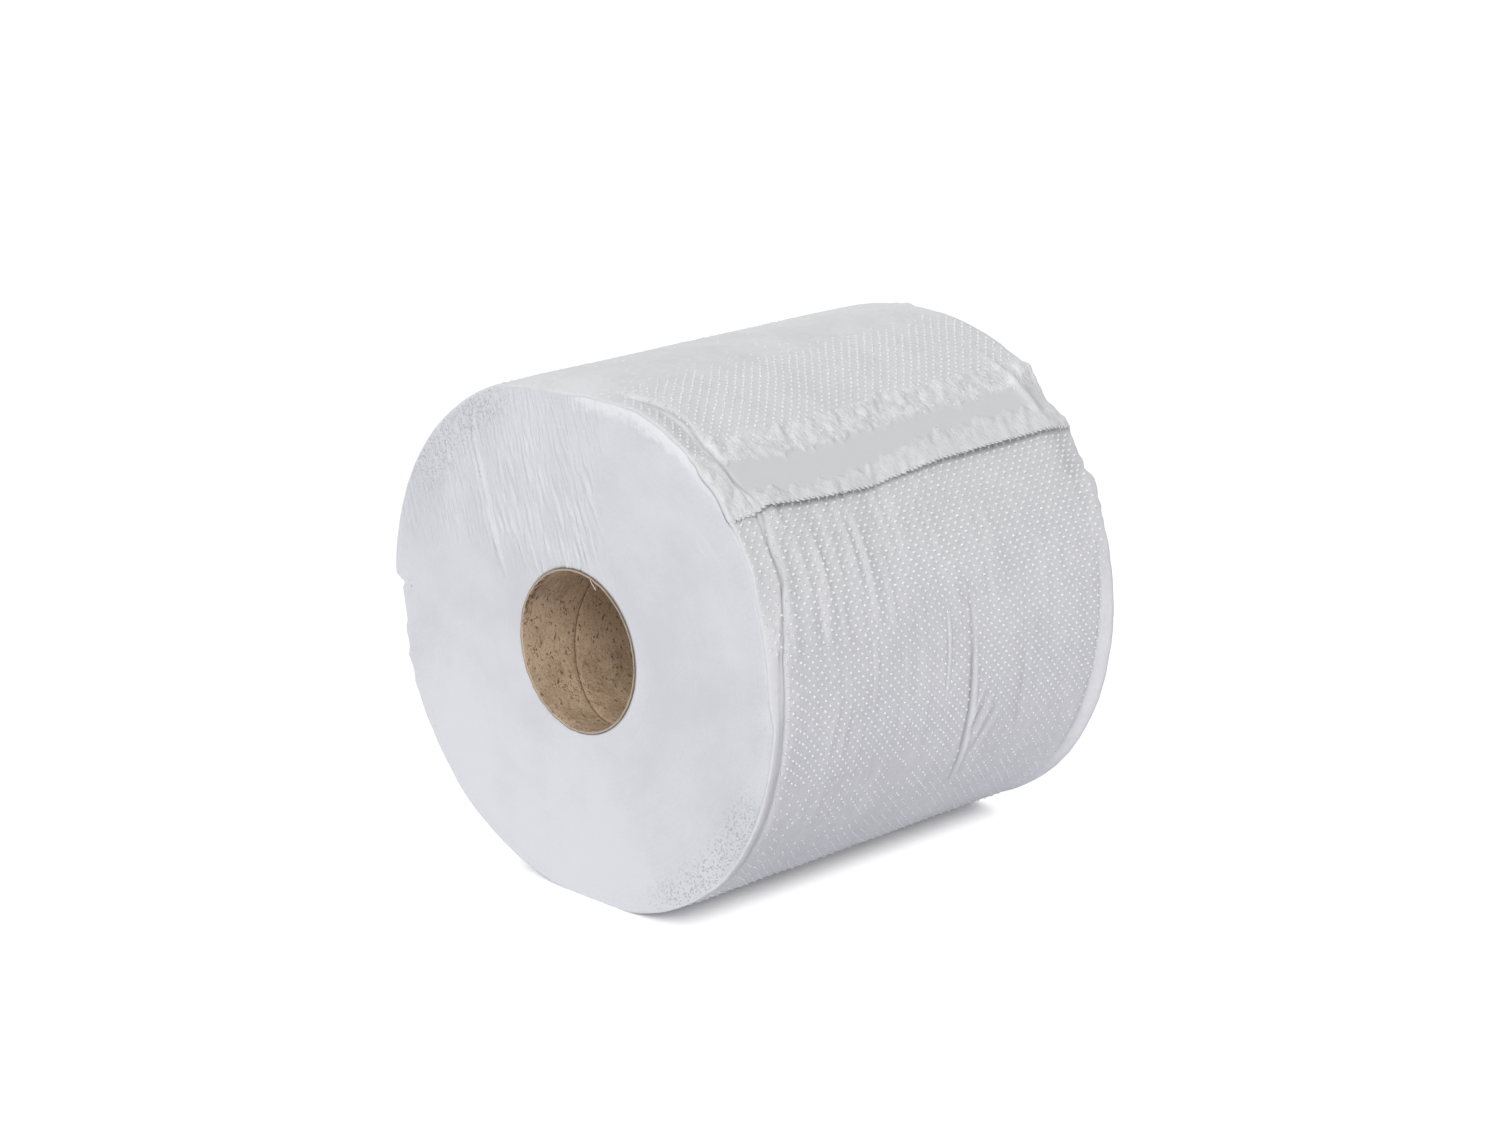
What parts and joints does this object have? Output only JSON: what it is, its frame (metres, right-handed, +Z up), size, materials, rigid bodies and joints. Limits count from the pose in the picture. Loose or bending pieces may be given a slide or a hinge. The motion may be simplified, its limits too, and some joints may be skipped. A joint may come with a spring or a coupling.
{
  "type": "center pull paper towel roll",
  "caption": "Full roll of white embossed paper towel on an open paperboard core, lying on its side with its loose end hanging on the right.",
  "frame": {"origin": "on the supporting surface, below the middle of the roll lying on its flat spot", "axes": "+Y along the roll's axis from its front end to its back end, +Z up, and the loose end of the paper on the +X side"},
  "size_m": [0.1978, 0.1762, 0.1881],
  "materials": {
    "paperboard": "matt grey-brown spiral-wound board with darker fibres",
    "towel_paper": "matt white tissue, embossed with small raised dots"
  },
  "bodies": {
    "root": {"core": "paperboard", "paper_roll": "towel_paper"}
  },
  "joints": []
}
